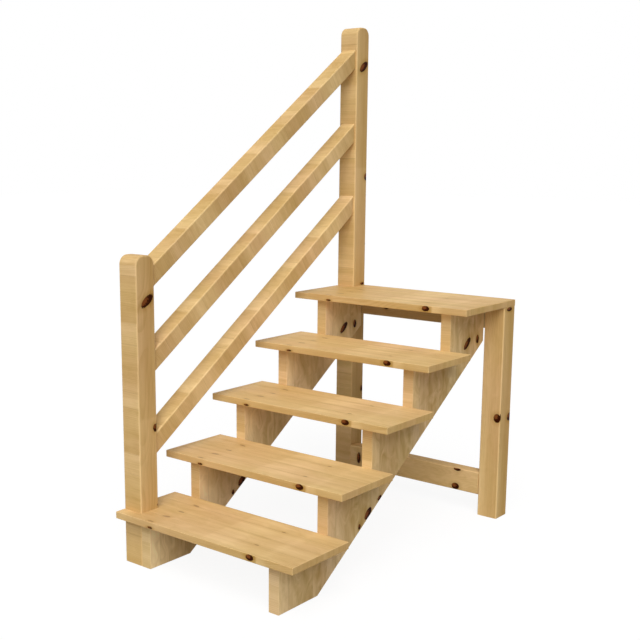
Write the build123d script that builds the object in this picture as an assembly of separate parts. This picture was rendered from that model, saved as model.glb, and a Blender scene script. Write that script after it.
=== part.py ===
from build123d import *
import math
import os

# Free-standing flight of five open wooden steps with a handrail on the left and a rear frame.
# Millimetres, +Z up. X runs across the flight from left to right, Y up the flight from front to
# back. The pieces are drawn from the left end of the treads, the front of the stringers and the
# floor; to_origin then moves them so that the origin is the middle of the footprint, on the floor.

# Flight
tread_width = 850.0
step_count = 5
rise = 181.0
going = 267.0
nosing = 45.0
top_tread_depth = 402.0

# Treads
tread_thickness = 27.0
tread_edge_radius = 2.5
notch_clearance = 0.5

# Stringers
stringer_thickness = 46.0
stringer_foot_run = 212.0
stringer_end_height = 146.0
stringer_edge_radius = 2.0
stringer_leg_clearance = 3.0

# Posts. The heads are what stands above the top rail where it meets each post.
post_size = 90.0
post_edge_radius = 6.0
post_top_radius = 35.0
newel_head = 40.0
rear_post_head = 97.0

# Rails, each placed by the plumb height of its top over the line of the nosings
rail_width = 74.0
rail_depth = 68.0
rail_edge_radius = 6.0
rail_rises = {"bottom_rail": 196.0, "middle_rail": 512.0, "top_rail": 828.0}

# Cross members of the rear frame
cross_thickness = 60.0
cross_edge_radius = 5.0
upper_beam_depth = 92.0
stretcher_depth = 98.0
stretcher_clearance = 89.0

# Worked out from the sizes above
tread_depth = going + nosing
last_riser = (step_count - 1) * going
flight_back = last_riser - nosing + top_tread_depth
rear_frame_front = flight_back - post_size
pitch = rise / going
rail_plumb_depth = rail_depth / math.cos(math.atan(pitch))
left_stringer_x = post_size
rear_leg_x = tread_width - post_size
right_stringer_x = rear_leg_x - stringer_leg_clearance - stringer_thickness
to_origin = Pos(-tread_width / 2, (nosing - flight_back) / 2, 0)


def seat_height(step):
    """Height of the stringers' level cut that carries a tread. Steps are counted from 1 at the floor."""
    return step * rise


def tread_top(step):
    """Height of a tread's walking surface."""
    return seat_height(step) + tread_thickness


def nosing_line(y):
    """Height at y of the sloping line that touches the front edge of every tread."""
    return tread_top(1) + (y + nosing) * pitch


def box_between(x_span, y_span, z_span):
    """A plain block between two planes on each axis."""
    size = [span[1] - span[0] for span in (x_span, y_span, z_span)]
    corner = (x_span[0], y_span[0], z_span[0])
    return Pos(*corner) * Box(*size, align=(Align.MIN, Align.MIN, Align.MIN))


def side_profile(points, x, thickness):
    """A piece of even thickness from its outline seen from the side, as (y, z) points."""
    outline = make_face(Polyline(*points, close=True))
    return Pos(x, 0, 0) * extrude(Plane.YZ * outline, amount=thickness)


def tread(step):
    """A planed board with all its edges eased. The top one is deeper, to reach over the rear frame."""
    front = (step - 1) * going - nosing
    depth = top_tread_depth if step == step_count else tread_depth
    board = box_between((0, tread_width), (front, front + depth), (seat_height(step), tread_top(step)))
    return fillet(board.edges(), tread_edge_radius)


def post_notch(front, step):
    """The room that a tread leaves, at its left end, for the post that passes it."""
    return box_between(
        (-tread_edge_radius, post_size + notch_clearance),
        (front - notch_clearance, front + post_size + notch_clearance),
        (seat_height(step) - tread_thickness, tread_top(step) + tread_thickness),
    )


def stringer(x):
    """A sawtooth stringer: plumb and level cuts for the steps, flat foot, plumb rear end."""
    outline = [(0, 0)]
    for step in range(1, step_count + 1):
        back = rear_frame_front if step == step_count else step * going
        outline += [((step - 1) * going, seat_height(step)), (back, seat_height(step))]
    outline += [(rear_frame_front, seat_height(step_count) - stringer_end_height), (stringer_foot_run, 0)]
    board = side_profile(outline, x, stringer_thickness)
    sides = board.faces().filter_by(Axis.X)
    return fillet(sides.edges(), stringer_edge_radius)


def rail_top(name, y):
    """Height at y of a rail's top."""
    return nosing_line(y) + rail_rises[name]


def rounded_post(y, height):
    """A square post with eased corners. Its top is rounded over from front to back."""
    blank = Pos(y + post_size / 2, height / 2) * Rectangle(post_size, height)
    blank = fillet(blank.vertices().sort_by(Axis.Y)[-2:], post_top_radius)
    post = extrude(Plane.YZ * blank, amount=post_size)
    rim = post.faces().filter_by(Axis.X).edges().filter_by(lambda edge: edge.center().Z > 0)
    return fillet(rim, post_edge_radius)


def rear_leg():
    """The short rear post, cut square under the top tread."""
    leg = box_between(
        (rear_leg_x, rear_leg_x + post_size),
        (rear_frame_front, flight_back),
        (0, seat_height(step_count)),
    )
    return fillet(leg.edges().filter_by(Axis.Z), post_edge_radius)


def rail(name):
    """A sloping rail centred between the two posts, with plumb ends and eased long edges."""
    top_edge = [(y, rail_top(name, y)) for y in (post_size, rear_frame_front)]
    bottom_edge = [(y, height - rail_plumb_depth) for y, height in reversed(top_edge)]
    outline = top_edge + bottom_edge
    bar = side_profile(outline, (post_size - rail_width) / 2, rail_width)
    long_edges = bar.edges().sort_by(SortBy.LENGTH)[-4:]
    return fillet(long_edges, rail_edge_radius)


def cross_member(bottom, depth):
    """A rail across the back, flush with the fronts of the rear post and the rear leg."""
    bar = box_between(
        (post_size, rear_leg_x),
        (rear_frame_front, rear_frame_front + cross_thickness),
        (bottom, bottom + depth),
    )
    return fillet(bar.edges().filter_by(Axis.X), cross_edge_radius)


def build():
    """Every piece by name, in the flight's own coordinates."""
    pieces = {f"tread_{step}": tread(step) for step in range(1, step_count + 1)}
    pieces["tread_1"] -= post_notch(0, 1)
    pieces[f"tread_{step_count}"] -= post_notch(rear_frame_front, step_count)
    pieces["left_stringer"] = stringer(left_stringer_x)
    pieces["right_stringer"] = stringer(right_stringer_x)
    newel_height = rail_top("top_rail", post_size) + newel_head
    rear_post_height = rail_top("top_rail", rear_frame_front) + rear_post_head
    pieces["newel_post"] = rounded_post(0, newel_height)
    pieces["rear_post"] = rounded_post(rear_frame_front, rear_post_height)
    pieces["rear_leg"] = rear_leg()
    for name in rail_rises:
        pieces[name] = rail(name)
    pieces["upper_beam"] = cross_member(seat_height(step_count) - upper_beam_depth, upper_beam_depth)
    pieces["lower_stretcher"] = cross_member(stretcher_clearance, stretcher_depth)
    return pieces


os.makedirs("parts", exist_ok=True)
for name, piece in build().items():
    export_step(to_origin * piece, f"parts/{name}.step")
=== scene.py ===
"""Looks of the free-standing wooden deck stairs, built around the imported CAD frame."""

import math

import bpy
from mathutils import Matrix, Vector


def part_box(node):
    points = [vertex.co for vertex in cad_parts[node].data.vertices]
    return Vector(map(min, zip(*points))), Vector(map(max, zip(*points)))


# Camera, in the row frame: its place in metres, its turn in degrees and its lens in millimetres
CAMERA_PLACE = (2.4409, -3.2531, 1.5285)
CAMERA_TURN = (79.31, 0.0, 40.50)
CAMERA_LENS = 59.31
CAMERA_SHIFT = (0.0925, 0.0503)

# Light: a dim even dome and five broad lamps. A lamp's azimuth is counted from the front towards
# the right, and its strength is what it gives to a white surface that faces it.
WHITE = (1, 1, 1, 1)
WORLD_STRENGTH = 0.045
LAMPS = {
    "key": {"azimuth": 40, "elevation": 40, "strength": 0.55, "angle": 40},
    "top": {"azimuth": 25, "elevation": 65, "strength": 0.335, "angle": 30},
    "low": {"azimuth": 35, "elevation": 12, "strength": 0.105, "angle": 60},
    "left": {"azimuth": -60, "elevation": 30, "strength": 0.145, "angle": 100},
    "back": {"azimuth": -155, "elevation": 14, "strength": 0.20, "angle": 100},
}

# Floor: its size and how far it lies below the object, the colour that it bounces onto the object,
# and how pale it is to the lamps when seen directly. The lamps make a white floor about 0.8 bright,
# and the glow makes up the rest, so the floor is nearly white and only the shadow shows.
FLOOR_SIZE = 60.0
FLOOR_DROP = 0.001
FLOOR_COLOR = (0.5, 0.5, 0.5, 1.0)
FLOOR_SHADE = 0.11
LAMPS_ON_WHITE_FLOOR = 0.8
FLOOR_GLOW = 1.0 - LAMPS_ON_WHITE_FLOOR * FLOOR_SHADE

# Wood colours. The tints multiply them.
PALE_WOOD = (0.873, 0.620, 0.291)
DEEP_WOOD = (0.617, 0.392, 0.139)
PINK_TINT = (1.02, 0.99, 1.08, 1)
STRINGER_TINT = (0.99, 1.025, 1.10)
# Painted shade: the upper beam is greyer and bluer, as in the shade under the top tread
UPPER_BEAM_SHADE_TINT = (0.86, 0.98, 1.15)
KNOT_HEART = (0.23, 0.070, 0.018, 1)
KNOT_RIM = (0.040, 0.007, 0.001, 1)
JOINT_SHADE = (0.40, 0.24, 0.11, 1)
JOINT_OPACITY = 0.5

# Soft noise in the wood: how often it changes in a metre along and across the grain, how much finer
# detail it has, and a shift that keeps it apart from the other kinds
NOISES = {
    "bend": {"along": 2.4, "across": 6.0},
    "wave": {"along": 7.0, "across": 20.0, "shift": 4.5},
    "clearness": {"along": 2.0, "across": 12.0},
    "streak": {"along": 2.2, "across": 48.0, "detail": 2.0},
    "cloud": {"along": 3.0, "across": 9.0, "shift": 9.1},
    "fibre": {"along": 12.0, "across": 300.0, "detail": 3.0},
    "swirl": {"along": 9.0, "across": 15.0},
    "patch": {"along": 14.0, "across": 34.0, "shift": 3.3, "detail": 2.0},
    "pink": {"along": 2.1, "across": 5.0, "shift": 20.0},
    "rough": {"along": 160.0, "across": 160.0, "detail": 2.0},
}
PATCH_SWIRL = 5.0

# A fade is a pair: the value at which it is 0 and the value at which it is 1.
PINK_FADE = (-0.15, 0.2)

# Growth rings: their spacing in metres, how often in a metre it drifts and by how many rings, how
# many rings they bow out at a knot, and how many metres the wave and the bend move them
RING_SPACING = 0.0062
RING_DRIFT_SCALE = 40.0
RING_DRIFT = 2.5
RING_BOW_AT_KNOTS = 1.4
RING_WAVE = 0.014
RING_BEND = 0.07

# The heart of the tree, which each stave has at a place of its own behind it: how widely its place
# is spread to the sides and in depth, and its least depth, all in metres, and the spread of its lean
HEART_SIDE_SPREAD = 0.09
HEART_DEPTH_SPREAD = 0.06
HEART_LEAST_DEPTH = 0.008
HEART_LEAN_SPREAD = 0.24

# A ring runs from 0 at its inside to 1 at its outside. Its dark late wood fades in and out again,
# and is strong where the rings are clear and weak where they are faint.
LATE_WOOD_START = (0.35, 0.92)
LATE_WOOD_END = (1.0, 0.95)
RING_CLEARNESS_FADE = (-0.2, 0.2)
FAINTEST_RING = 0.25

# How far the numbers of the staves move on from piece to piece, so that each piece differs
STAVES_BETWEEN_PIECES = 7.3

# Knots, measured from their middle in their own half sizes
KNOT_HEART_PLACE = (-0.40, -0.35, 0)
KNOT_HALO_FADE = (2.2, 1.0)
KNOT_RIM_FADE = (1.05, 0.85)
KNOT_HEART_FADE = (0.80, 0.35)
KNOT_RIM_ROUGHNESS = 0.35
KNOT_HEART_ROUGHNESS = 1.3
FAR_FROM_KNOTS = 9.0

# Joints between staves, in metres
JOINT_WIDTH = 0.0009
FAR_FROM_JOINTS = 1.0

# Painted highlight on the eased edges, by the largest part of the normal, which is 1 on a flat face
EDGE_HIGHLIGHT_FADE = (0.995, 0.93)

# What each thing adds to the depth of the colour, to the roughness, and to the height in metres
DEPTHS = {
    "early": -0.05, "late": 0.23, "cloud": 0.40, "streak": 0.70, "fibre": 0.45, "halo": 0.35,
    # The eased edges' entry is a painted highlight, which makes them paler
    "edge_highlight": -0.25,
}
ROUGHNESSES = {"wood": 0.46, "late": 0.06, "fibre": 0.10, "knot": -0.10}
HEIGHTS = {"late": 0.00005, "fibre": 0.00005, "joint": -0.0003, "knot": -0.0002}
BUMP_STRENGTH = 0.6
WOOD_SPECULAR = 0.02

# How a face is mapped: the direction along its grain and the one across it
RIGHT, BACK, DOWN = (1, 0, 0), (0, 1, 0), (0, 0, -1)
GRAIN = {"side": (DOWN, BACK), "front": (RIGHT, DOWN), "top": (RIGHT, BACK)}
UPRIGHT_GRAIN = {"side": (DOWN, BACK), "front": (DOWN, RIGHT), "top": (RIGHT, BACK)}

# How deep the colour is, from 0 for the palest wood to 1 for the deepest
PALE, FAINT, LIGHT, MIDDLE, WARM, DEEP = 0.10, 0.25, 0.40, 0.55, 0.70, 0.90

# The depth at places across or along a face, with a smooth change between them. Two places that are
# close together are a seam between staves. A list starts again after its last place.
BAND_TONES = (
    (0.000, LIGHT), (0.055, LIGHT), (0.060, MIDDLE), (0.110, WARM), (0.200, DEEP), (0.235, WARM),
    (0.275, WARM), (0.280, LIGHT), (0.310, LIGHT), (0.315, WARM), (0.350, MIDDLE), (0.410, WARM),
    (0.485, DEEP), (0.490, LIGHT),
)
RAIL_SIDE_TONES = (
    (0.000, LIGHT), (0.080, LIGHT), (0.120, PALE), (0.150, PALE), (0.200, FAINT), (0.250, MIDDLE),
    (0.310, WARM), (0.430, WARM), (0.470, FAINT), (0.490, FAINT), (0.495, LIGHT),
)
POST_SIDE_TONES = ((0.000, LIGHT), (0.030, WARM), (0.060, DEEP), (0.080, DEEP), (0.090, LIGHT))
LEG_FRONT_TONES = ((0.000, PALE), (0.045, MIDDLE), (0.085, WARM), (0.090, PALE))
TREAD_LENGTH_TONES = (
    (0.000, LIGHT), (0.030, FAINT), (0.080, WARM), (0.180, WARM), (0.220, MIDDLE), (0.425, LIGHT),
    (0.435, FAINT), (0.530, PALE), (0.620, LIGHT), (0.690, LIGHT), (0.715, FAINT), (0.740, LIGHT),
    (0.850, MIDDLE),
)
TREAD_EDGE_TONES = (
    (0.000, MIDDLE), (0.030, LIGHT), (0.060, MIDDLE), (0.120, WARM), (0.190, WARM), (0.215, MIDDLE),
    (0.300, WARM), (0.690, DEEP), (0.695, FAINT), (0.725, LIGHT), (0.745, WARM), (0.850, WARM),
)
# The stringers' sides across, repeating at each step: stave tones and seams, with painted shade that
# is light just behind each riser's front and deepest further back under the tread above
STRINGER_TONES_AND_SHADE = (
    (0.000, LIGHT), (0.045, LIGHT), (0.050, MIDDLE), (0.095, WARM), (0.140, DEEP), (0.230, DEEP),
    (0.260, WARM), (0.267, LIGHT),
)
PLAIN_TONES = ((0.00, MIDDLE), (0.11, WARM), (0.18, MIDDLE), (0.25, WARM), (0.33, MIDDLE))

# What the depth of a long face gains or loses along it, and what the rows of a tread add to it
POST_SIDE_LENGTH_TONES = (
    (0.00, 0.1), (0.30, 0.0), (0.60, 0.0), (0.61, -0.2), (1.00, -0.2), (1.20, 0.0), (1.60, 0.1),
    (2.10, 0.1),
)
STRINGER_LENGTH_TONES = ((0.00, 0.0), (0.56, 0.0), (0.74, -0.2), (0.91, -0.2))
TREAD_ROW_TONES = ((0.000, 0.10), (0.012, 0.00), (0.060, -0.05), (0.078, 0.10))

# How much stronger the rows of a tread are in its middle
TREAD_ROW_STRENGTHS = (
    (0.00, 0.6), (0.42, 0.6), (0.44, 2.5), (0.60, 2.5), (0.64, 0.6), (0.85, 0.6),
)

# Knots: place along and across the face, half size along and across, and the turn of the oval
TREAD_TOP_KNOTS = (
    (0.186, 0.241, 0.018, 0.0065, -12), (0.190, 0.156, 0.015, 0.0050, 0),
    (0.184, 0.085, 0.018, 0.0065, 8), (0.176, 0.012, 0.015, 0.0050, 0),
    (0.621, 0.236, 0.010, 0.0040, 0), (0.627, 0.082, 0.010, 0.0040, 0),
)
TREAD_EDGE_KNOTS = ((0.183, 0.0205, 0.0135, 0.0042, 0), (0.665, 0.0115, 0.0185, 0.0115, 0))
POST_SIDE_KNOTS = (
    (0.166, 0.052, 0.017, 0.036, 35), (0.645, 0.081, 0.016, 0.012, 0),
    (0.947, 0.087, 0.004, 0.004, 0), (1.128, 0.068, 0.006, 0.014, 0),
    (1.622, 0.077, 0.016, 0.008, 0), (1.955, 0.070, 0.028, 0.015, 20),
)
LEG_FRONT_KNOTS = ((0.467, 0.076, 0.020, 0.017, 0),)
LEG_SIDE_KNOTS = (
    (0.009, 0.041, 0.009, 0.022, 0), (0.471, 0.077, 0.018, 0.018, 0),
    (0.462, 0.000, 0.017, 0.006, 0),
)
STRINGER_KNOTS = (
    (0.140, 1.203, 0.015, 0.034, 40), (0.132, 1.286, 0.019, 0.012, 0),
    (0.682, 0.515, 0.016, 0.028, 42), (0.640, 0.588, 0.008, 0.015, 30),
    (0.719, 0.461, 0.011, 0.008, 0),
)
STRETCHER_KNOTS = (
    (0.567, 0.004, 0.018, 0.009, 0), (0.560, 0.082, 0.019, 0.015, 0),
    (0.047, 0.054, 0.011, 0.028, 0),
)
UPPER_BEAM_KNOTS = ((0.180, 0.050, 0.015, 0.010, 0), (0.520, 0.030, 0.012, 0.008, 0))

# What shows on each kind of piece. "across" and "along" are lists of depths, and "tone" is added to
# both. "strength" makes the list across stronger in places along the face. "joints" are the places
# across it where staves meet, and they and the list across are counted from "start". "figure" is the
# strength of clouds and streaks, "mottle" that of patches, and "knot_strength" that of knots, which
# are faint and reddish when it is low.
NO_FEATURES = {
    "tone": 0.0, "start": 0.0, "knots": (), "figure": 1.0, "mottle": 0.2, "knot_strength": 1.0,
}
BANDED = {"across": BAND_TONES, "joints": (0.0, 0.077, 0.256, 0.315)}
PLAIN = {"across": PLAIN_TONES}
POST_FACES = {
    "side": {
        "across": POST_SIDE_TONES,
        "along": POST_SIDE_LENGTH_TONES,
        "knots": POST_SIDE_KNOTS,
    },
    "front": {**BANDED, "start": 0.248, "mottle": 0.4},
    "top": {**PLAIN, "tone": 0.3},
}
REAR_POST_FACES = {**POST_FACES, "front": {**POST_FACES["front"], "tone": -0.12}}
LEG_FACES = {
    "side": {"across": POST_SIDE_TONES, "knots": LEG_SIDE_KNOTS, "tone": 0.2},
    "front": {"across": LEG_FRONT_TONES, "knots": LEG_FRONT_KNOTS, "tone": 0.12, "mottle": 0.4},
    "top": PLAIN,
}
TREAD_FACES = {
    # Painted shade: the right ends are deeper than the tops, as they look in less light
    "side": {**PLAIN, "tone": 0.22},
    "front": {"along": TREAD_EDGE_TONES, "knots": TREAD_EDGE_KNOTS, "tone": 0.1},
    "top": {
        "across": TREAD_ROW_TONES,
        "strength": TREAD_ROW_STRENGTHS,
        "along": TREAD_LENGTH_TONES,
        "joints": (0.0,),
        "knots": TREAD_TOP_KNOTS,
        "knot_strength": 0.42,
        "mottle": 0.5,
    },
}
TOP_TREAD_FACES = {**TREAD_FACES, "top": {**TREAD_FACES["top"], "tone": 0.26}}
STRINGER_FACES = {
    "side": {
        # stave tones with painted shade under each tread
        "across": STRINGER_TONES_AND_SHADE,
        "along": STRINGER_LENGTH_TONES,
        "joints": (0.0, 0.050, 0.185),
        "knots": STRINGER_KNOTS,
        "tone": -0.1,
        "mottle": 1.8,
    },
    "front": {"across": BAND_TONES, "tone": -0.3},
    "top": PLAIN,
}
LEFT_STRINGER_FACES = {
    **STRINGER_FACES,
    # Painted light: the inner side is paler than the right stringer's, to make up for the shade under
    # the treads
    "side": {**STRINGER_FACES["side"], "tone": -0.6},
    "front": {**STRINGER_FACES["front"], "tone": -0.28},
}
RAIL_FACES = {
    "side": {
        "across": RAIL_SIDE_TONES,
        "start": 0.152,
        "joints": (0.0, 0.155, 0.262, 0.410),
        "tone": 0.08,
        "mottle": 0.6,
    },
    "front": PLAIN,
    "top": {**BANDED, "start": 0.221, "figure": 0.5, "mottle": 0.8},
}
STRETCHER_FACES = {
    "side": PLAIN,
    "front": {**PLAIN, "tone": -0.15, "knots": STRETCHER_KNOTS, "mottle": 0.8},
    "top": PLAIN,
}
UPPER_BEAM_FACES = {"side": PLAIN, "front": {**PLAIN, "knots": UPPER_BEAM_KNOTS}, "top": PLAIN}

# The finish of each piece, whose place in the list gives it its own grain. A "sloping" piece has a
# grain that slopes with the flight. One that is "from_left" has it counted from the flight's left end.
STRINGER = {"tint": STRINGER_TINT, "from_left": True}
RAIL = {"faces": RAIL_FACES, "from_left": True, "sloping": True}
FINISHES = {
    **{f"tread_{step}": {"faces": TREAD_FACES} for step in (1, 2, 3, 4)},
    "tread_5": {"faces": TOP_TREAD_FACES},
    "newel_post": {"faces": POST_FACES},
    "rear_post": {"faces": REAR_POST_FACES, "tone": 0.05},
    "rear_leg": {"faces": LEG_FACES, "axes": UPRIGHT_GRAIN},
    "left_stringer": {**STRINGER, "faces": LEFT_STRINGER_FACES},
    "right_stringer": {**STRINGER, "faces": STRINGER_FACES},
    "top_rail": RAIL,
    # The lower rails are paler: painted light that makes up for the shade of the rail above them
    "middle_rail": {**RAIL, "tone": -0.1},
    "bottom_rail": {**RAIL, "tone": -0.2},
    # painted shade: a greyer, bluer upper beam
    "upper_beam": {"faces": UPPER_BEAM_FACES, "tint": UPPER_BEAM_SHADE_TINT},
    "lower_stretcher": {"faces": STRETCHER_FACES},
}


class Graph:
    """A short way to write shader nodes: sockets or plain values go in and a socket comes out."""

    # The numbers of a Mix node's two values and of its result, for each type of value
    MIX_SOCKETS = {"FLOAT": (2, 3, 0), "VECTOR": (4, 5, 1), "RGBA": (6, 7, 2)}

    def __init__(self, tree):
        self.nodes, self.links = tree.nodes, tree.links

    def node(self, kind, values=(), **settings):
        made = self.nodes.new("ShaderNode" + kind)
        for name, setting in settings.items():
            setattr(made, name, setting)
        for socket, value in values:
            self.put(made.inputs[socket], value)
        return made

    def put(self, socket, value):
        if isinstance(value, bpy.types.NodeSocket):
            self.links.new(value, socket)
        else:
            socket.default_value = value

    def math(self, operation, *values):
        return self.node("Math", enumerate(values), operation=operation).outputs[0]

    def vector(self, operation, *values, output=0):
        return self.node("VectorMath", enumerate(values), operation=operation).outputs[output]

    def total(self, first, *others):
        for value in others:
            first = self.math("ADD", first, value)
        return first

    def product(self, first, second):
        return self.math("MULTIPLY", first, second)

    def scaled(self, value, factor, shift=0.0):
        return self.math("MULTIPLY_ADD", value, factor, shift)

    def spread(self, chance, width):
        """A chance from 0 to 1 turned into a number within the width, half of it on each side of 0."""
        return self.scaled(chance, width, -width / 2)

    def join(self, x, y, z=0.0):
        return self.node("CombineXYZ", enumerate((x, y, z))).outputs[0]

    def split(self, vector):
        return list(self.node("SeparateXYZ", [(0, vector)]).outputs)

    def noise(self, x, y, z, detail=1.0):
        """Soft noise, from -0.5 to 0.5, that changes over about one unit."""
        values = [("Vector", self.join(x, y, z)), ("Scale", 1.0), ("Detail", detail)]
        return self.math("SUBTRACT", self.node("TexNoise", values).outputs["Fac"], 0.5)

    def fade(self, value, start, end):
        """0 before start and 1 after end, with a smooth change between them."""
        values = [(0, value), (1, start), (2, end)]
        return self.node("MapRange", values, interpolation_type="SMOOTHSTEP").outputs[0]

    def mix(self, share, first, second, data_type="FLOAT", blend_type="MIX"):
        """What goes from first to second as the share goes from 0 to 1."""
        first_socket, second_socket, result = self.MIX_SOCKETS[data_type]
        values = [(0, share), (first_socket, first), (second_socket, second)]
        made = self.node("Mix", values, data_type=data_type, blend_type=blend_type)
        return made.outputs[result]

    def profile(self, place, stops):
        """A number read off a list of places and numbers, which repeats after its last place."""
        length = stops[-1][0]
        turn = self.math("FRACT", self.math("DIVIDE", place, length))
        low = min(number for _, number in stops)
        span = max(number for _, number in stops) - low
        ramp = self.node("ValToRGB", [(0, turn)])
        points = ramp.color_ramp.elements
        for index, (position, number) in enumerate(stops):
            point = points[index] if index < 2 else points.new(position / length)
            point.position = position / length
            level = (number - low) / span
            point.color = (level, level, level, 1)
        return self.scaled(ramp.outputs[0], span, low)


class Spot:
    """A place in the wood: how far along and across the grain, and in which stave."""

    def __init__(self, graph, along, across, stave):
        self.graph, self.along, self.across, self.stave = graph, along, across, stave

    def noise(self, kind, layer=None, warp=0.0):
        """A kind of soft noise, pushed aside by the warp. It differs from stave to stave, or from
        layer to layer where one is given.
        """
        scales = NOISES[kind]
        x = self.graph.scaled(self.along, scales["along"], warp)
        y = self.graph.scaled(self.across, scales["across"], warp)
        base = self.stave if layer is None else layer
        z = self.graph.scaled(base, 1.0, scales.get("shift", 0.0))
        return self.graph.noise(x, y, z, scales.get("detail", 1.0))


def staves(graph, across, joints, length):
    """The number of the stave at a place across a face, and how far the place is past its joint."""
    lap = graph.math("FLOOR", graph.math("DIVIDE", across, length))
    place = graph.math("SUBTRACT", across, graph.product(lap, length))
    number = graph.product(lap, len(joints))
    past = place
    for joint in joints[1:]:
        beyond = graph.math("GREATER_THAN", place, joint)
        number = graph.math("ADD", number, beyond)
        past = graph.mix(beyond, past, graph.math("SUBTRACT", place, joint))
    return number, past


def knot_distances(graph, spot, knots):
    """Distances to the nearest knot's middle and to the nearest heart of a knot, in its half sizes."""
    nearest, heart = FAR_FROM_KNOTS, FAR_FROM_KNOTS
    for along, across, half_along, half_across, turn in knots:
        values = [
            ("Vector", spot),
            ("Location", (along, across, 0)),
            ("Rotation", (0, 0, math.radians(turn))),
            ("Scale", (half_along, half_across, 1)),
        ]
        oval = graph.node("Mapping", values, vector_type="TEXTURE").outputs[0]
        nearest = graph.math("MINIMUM", nearest, graph.vector("LENGTH", oval, output="Value"))
        to_heart = graph.vector("DISTANCE", oval, KNOT_HEART_PLACE, output="Value")
        heart = graph.math("MINIMUM", heart, to_heart)
    return nearest, heart


def face_pattern(graph, place, axes, features):
    """What a face gives the wood, as four vectors: the spot along and across; its tone, stave and
    distance past a joint; the distances to its knots; and how strong its figure, mottle and knots are.
    """
    face = {**NO_FEATURES, **features}
    along, across = [graph.vector("DOT_PRODUCT", place, axis, output="Value") for axis in axes]
    spot = graph.join(along, across)
    tone = face["tone"]
    shifted = graph.math("SUBTRACT", across, face["start"])
    if "across" in face:
        rows = graph.profile(shifted, face["across"])
        if "strength" in face:
            rows = graph.product(rows, graph.profile(along, face["strength"]))
        tone = graph.math("ADD", rows, tone)
    if "along" in face:
        tone = graph.math("ADD", graph.profile(along, face["along"]), tone)
    number, past = 0.0, FAR_FROM_JOINTS
    if "joints" in face:
        number, past = staves(graph, shifted, face["joints"], face["across"][-1][0])
    distances = knot_distances(graph, spot, face["knots"])
    strengths = graph.join(face["figure"], face["mottle"], face["knot_strength"])
    return spot, graph.join(tone, number, past), graph.join(*distances), strengths


def chosen_face(graph, normal, patterns):
    """The pattern of the face that a place is on, told by the main direction of its normal, and how
    squarely the normal points that way.
    """
    x, y, z = graph.split(graph.vector("ABSOLUTE", normal))
    on_side = graph.math("GREATER_THAN", x, graph.math("MAXIMUM", y, z))
    on_top = graph.math("GREATER_THAN", z, graph.math("MAXIMUM", x, y))
    squareness = graph.math("MAXIMUM", x, graph.math("MAXIMUM", y, z))
    results = []
    for front, top, side in zip(patterns["front"], patterns["top"], patterns["side"]):
        front_or_top = graph.mix(on_top, front, top, "VECTOR")
        results.append(graph.split(graph.mix(on_side, front_or_top, side, "VECTOR")))
    return results, squareness


def late_wood(graph, spot, knot, seed):
    """The dark part of the growth rings, from 0 to 1. The rings are circles about the heart of the
    tree. They bow out round knots, and are clear in some places and faint in others.
    """
    dice = graph.node("TexWhiteNoise", [("W", spot.stave)], noise_dimensions="1D")
    side_chance, lean_chance, depth_chance = graph.split(dice.outputs["Color"])
    sideways = graph.total(
        spot.across,
        graph.spread(side_chance, HEART_SIDE_SPREAD),
        graph.scaled(spot.noise("wave"), RING_WAVE),
    )
    depth = graph.total(
        graph.scaled(depth_chance, HEART_DEPTH_SPREAD, HEART_LEAST_DEPTH),
        graph.product(spot.along, graph.spread(lean_chance, HEART_LEAN_SPREAD)),
        graph.scaled(spot.noise("bend"), RING_BEND),
    )
    radius = graph.vector("LENGTH", graph.join(sideways, depth), output="Value")
    drift = graph.noise(graph.scaled(radius, RING_DRIFT_SCALE), spot.stave, seed)
    falloff = graph.math("ADD", 1.0, graph.product(knot, knot))
    rings = graph.total(
        graph.math("DIVIDE", radius, RING_SPACING),
        graph.scaled(drift, RING_DRIFT),
        graph.math("DIVIDE", RING_BOW_AT_KNOTS, falloff),
    )
    ring = graph.math("FRACT", rings)
    late = graph.product(graph.fade(ring, *LATE_WOOD_START), graph.fade(ring, *LATE_WOOD_END))
    clearness = graph.fade(spot.noise("clearness"), *RING_CLEARNESS_FADE)
    return graph.product(late, graph.scaled(clearness, 1.0 - FAINTEST_RING, FAINTEST_RING))


def color_depth(graph, spot, tone, late, fibre, halo, edge_highlight, strengths):
    """How deep the colour is at a spot, 0 for the palest wood and 1 for the deepest."""
    figure_strength, mottle, _ = strengths
    figure = graph.total(
        graph.scaled(spot.noise("cloud"), DEPTHS["cloud"]),
        graph.scaled(spot.noise("streak"), DEPTHS["streak"]),
    )
    swirl = graph.scaled(spot.noise("swirl"), PATCH_SWIRL)
    return graph.total(
        tone,
        graph.scaled(late, DEPTHS["late"], DEPTHS["early"]),
        graph.product(figure, figure_strength),
        graph.product(spot.noise("patch", warp=swirl), mottle),
        graph.scaled(fibre, DEPTHS["fibre"]),
        graph.scaled(halo, DEPTHS["halo"]),
        # painted highlight that makes the eased edges paler
        graph.scaled(edge_highlight, DEPTHS["edge_highlight"]),
    )


def clear_wood_color(graph, spot, depth, tint, joint, seed):
    """The colour of the wood without its knots: pale to deep, pinkish in places, with thin joints."""
    pale = [level * share for level, share in zip(PALE_WOOD, tint)]
    deep = [level * share for level, share in zip(DEEP_WOOD, tint)]
    change = [end - start for start, end in zip(pale, deep)]
    color = graph.vector("MULTIPLY_ADD", graph.join(depth, depth, depth), change, pale)
    pinkness = graph.fade(spot.noise("pink", layer=seed), *PINK_FADE)
    color = graph.mix(pinkness, color, PINK_TINT, "RGBA", "MULTIPLY")
    return graph.mix(graph.product(joint, JOINT_OPACITY), color, JOINT_SHADE, "RGBA")


def knot_color(graph, knot_heart, rough_edge, knot_strength):
    """A reddish heart in a nearly black rim. A faint knot is reddish all over."""
    place = graph.math("ADD", knot_heart, graph.scaled(rough_edge, KNOT_HEART_ROUGHNESS))
    heart = graph.fade(place, *KNOT_HEART_FADE)
    reddish = graph.math("MAXIMUM", heart, graph.scaled(knot_strength, -1.0, 1.0))
    return graph.mix(reddish, KNOT_RIM, KNOT_HEART, "RGBA")


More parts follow.
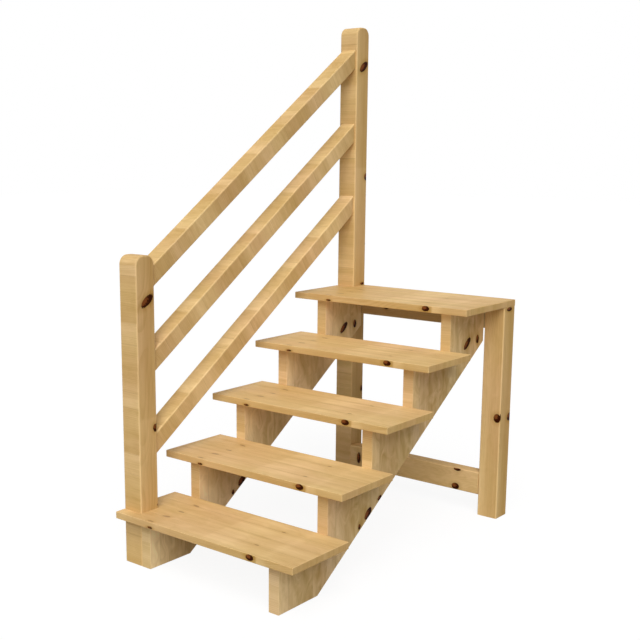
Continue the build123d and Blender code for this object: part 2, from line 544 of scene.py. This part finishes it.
def set_surface(graph, color, late, fibre, joint, knot):
    """Puts the colour, the roughness and the slight relief of the wood on the material's shader."""
    shader = graph.nodes["Principled BSDF"]
    roughness = graph.total(
        graph.scaled(late, ROUGHNESSES["late"], ROUGHNESSES["wood"]),
        graph.scaled(fibre, ROUGHNESSES["fibre"]),
        graph.scaled(knot, ROUGHNESSES["knot"]),
    )
    height = graph.total(
        graph.scaled(late, HEIGHTS["late"]),
        graph.scaled(fibre, HEIGHTS["fibre"]),
        graph.scaled(joint, HEIGHTS["joint"]),
        graph.scaled(knot, HEIGHTS["knot"]),
    )
    values = [("Strength", BUMP_STRENGTH), ("Distance", 1.0), ("Height", height)]
    graph.put(shader.inputs["Base Color"], color)
    graph.put(shader.inputs["Roughness"], roughness)
    graph.put(shader.inputs["Normal"], graph.node("Bump", values).outputs[0])
    shader.inputs["Specular IOR Level"].default_value = WOOD_SPECULAR


def turned(graph, vector, angle):
    """A vector turned about the axis across the flight."""
    values = [("Vector", vector), ("Angle", angle)]
    return graph.node("VectorRotate", values, rotation_type="X_AXIS").outputs[0]


def wood_material(name, corner, faces, slope, seed, axes=GRAIN, tone=0.0, tint=(1, 1, 1)):
    """Planed spruce, mapped like a box from the corner, which may slope up towards the back."""
    material = bpy.data.materials.new(name)
    material.use_nodes = True
    graph = Graph(material.node_tree)
    coordinates = graph.node("TexCoord").outputs
    place = graph.vector("SUBTRACT", coordinates["Object"], corner)
    normal = coordinates["Normal"]
    if slope:
        place, normal = turned(graph, place, -slope), turned(graph, normal, -slope)
    patterns = {side: face_pattern(graph, place, axes[side], faces[side]) for side in faces}
    chosen, squareness = chosen_face(graph, normal, patterns)
    (along, across, _), (face_tone, number, past), (knot, knot_heart, _), strengths = chosen
    knot_strength = strengths[2]

    stave = graph.math("ADD", number, STAVES_BETWEEN_PIECES * seed)
    spot = Spot(graph, along, across, stave)
    late = late_wood(graph, spot, knot, seed)
    fibre = spot.noise("fibre")
    halo = graph.product(graph.fade(knot, *KNOT_HALO_FADE), knot_strength)
    # Painted highlight: paler wood on the eased edges, where the normal turns away from the face
    edge_highlight = graph.fade(squareness, *EDGE_HIGHLIGHT_FADE)
    joint = graph.math("LESS_THAN", past, JOINT_WIDTH)
    full_tone = graph.math("ADD", face_tone, tone)
    depth = color_depth(graph, spot, full_tone, late, fibre, halo, edge_highlight, strengths)
    color = clear_wood_color(graph, spot, depth, tint, joint, seed)

    rough_edge = spot.noise("rough", layer=seed)
    rim = graph.math("ADD", knot, graph.scaled(rough_edge, KNOT_RIM_ROUGHNESS))
    in_knot = graph.product(graph.fade(rim, *KNOT_RIM_FADE), knot_strength)
    knot_shade = knot_color(graph, knot_heart, rough_edge, knot_strength)
    color = graph.mix(in_knot, color, knot_shade, "RGBA")
    set_surface(graph, color, late, fibre, joint, in_knot)
    return material


def flight_slope():
    """The angle at which the flight climbs, from its first two treads."""
    (_, first_front, _), (_, _, first_top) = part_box("tread_1")
    (_, second_front, _), (_, _, second_top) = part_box("tread_2")
    return math.atan2(second_top - first_top, second_front - first_front)


def piece_material(piece, seed, from_left=False, sloping=False, **finish):
    """The material of one piece, with its grain counted from the piece's top left front corner."""
    low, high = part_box(piece)
    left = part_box("tread_1")[0].x if from_left else low.x
    slope = flight_slope() if sloping else 0.0
    front_top = high.z - (high.y - low.y) * math.tan(slope)
    corner = (left, low.y, front_top)
    return wood_material(f"spruce_{piece}", corner, slope=slope, seed=seed, **finish)


def add_camera():
    """The camera, which looks at the flight from the front and the right."""
    camera = bpy.data.cameras.new("camera")
    camera.lens = CAMERA_LENS
    camera.shift_x, camera.shift_y = CAMERA_SHIFT
    holder = bpy.data.objects.new("camera", camera)
    holder.location = CAMERA_PLACE
    holder.rotation_euler = [math.radians(angle) for angle in CAMERA_TURN]
    bpy.context.scene.collection.objects.link(holder)
    bpy.context.scene.camera = holder


def seen_directly(graph):
    """1 for rays from the camera, in a mirror or through glass, and 0 for light on the object."""
    path = graph.node("LightPath").outputs
    mirrored = graph.math("MAXIMUM", path["Is Glossy Ray"], path["Is Transmission Ray"])
    return graph.math("MAXIMUM", path["Is Camera Ray"], mirrored)


def add_world():
    """A dim dome that is seen as white."""
    world = bpy.data.worlds.new("studio")
    bpy.context.scene.world = world
    world.use_nodes = True
    world.node_tree.nodes.clear()
    graph = Graph(world.node_tree)
    dome = graph.node("Background", [("Color", WHITE), ("Strength", WORLD_STRENGTH)]).outputs[0]
    backdrop = graph.node("Background", [("Color", WHITE)]).outputs[0]
    mix = graph.node("MixShader", enumerate((seen_directly(graph), dome, backdrop))).outputs[0]
    graph.node("OutputWorld", [(0, mix)])


def add_lamp(name, azimuth, elevation, strength, angle):
    """A broad distant lamp, given by where its light comes from."""
    lamp = bpy.data.lights.new(name, "SUN")
    lamp.energy = strength * math.pi
    lamp.angle = math.radians(angle)
    holder = bpy.data.objects.new(name, lamp)
    tilt = math.radians(90 - elevation)
    holder.rotation_euler = (tilt, 0, math.radians(azimuth))
    bpy.context.scene.collection.objects.link(holder)


def add_floor():
    """A pale floor. Seen directly it is nearly white, and keeps some of the object's shadow."""
    mesh = bpy.data.meshes.new("floor")
    half = FLOOR_SIZE / 2
    corners = [(-half, -half, 0), (half, -half, 0), (half, half, 0), (-half, half, 0)]
    mesh.from_pydata(corners, [], [(0, 1, 2, 3)])
    floor = bpy.data.objects.new("floor", mesh)
    bpy.context.scene.collection.objects.link(floor)
    floor.location.z = -FLOOR_DROP
    material = bpy.data.materials.new("floor")
    material.use_nodes = True
    material.node_tree.nodes.clear()
    graph = Graph(material.node_tree)
    bounced = graph.node("BsdfDiffuse", [("Color", FLOOR_COLOR)]).outputs[0]
    shade = (FLOOR_SHADE, FLOOR_SHADE, FLOOR_SHADE, 1)
    shaded = graph.node("BsdfDiffuse", [("Color", shade)]).outputs[0]
    glow = graph.node("Emission", [("Strength", FLOOR_GLOW)]).outputs[0]
    seen = graph.node("AddShader", enumerate((shaded, glow))).outputs[0]
    mix = graph.node("MixShader", enumerate((seen_directly(graph), bounced, seen))).outputs[0]
    graph.node("OutputMaterial", [(0, mix)])
    mesh.materials.append(material)


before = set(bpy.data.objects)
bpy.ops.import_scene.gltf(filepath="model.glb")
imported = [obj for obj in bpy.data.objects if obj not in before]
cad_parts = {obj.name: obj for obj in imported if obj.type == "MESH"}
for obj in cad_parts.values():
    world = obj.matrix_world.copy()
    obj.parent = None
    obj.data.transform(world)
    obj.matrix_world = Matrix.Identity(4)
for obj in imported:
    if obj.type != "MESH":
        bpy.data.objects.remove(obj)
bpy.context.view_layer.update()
bpy.context.scene.view_settings.view_transform = "Standard"
add_camera()
add_world()
for name, lamp in LAMPS.items():
    add_lamp(name, **lamp)
add_floor()
for seed, (name, finish) in enumerate(FINISHES.items()):
    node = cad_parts[name]
    node.data.materials.clear()
    node.data.materials.append(piece_material(name, seed, **finish))
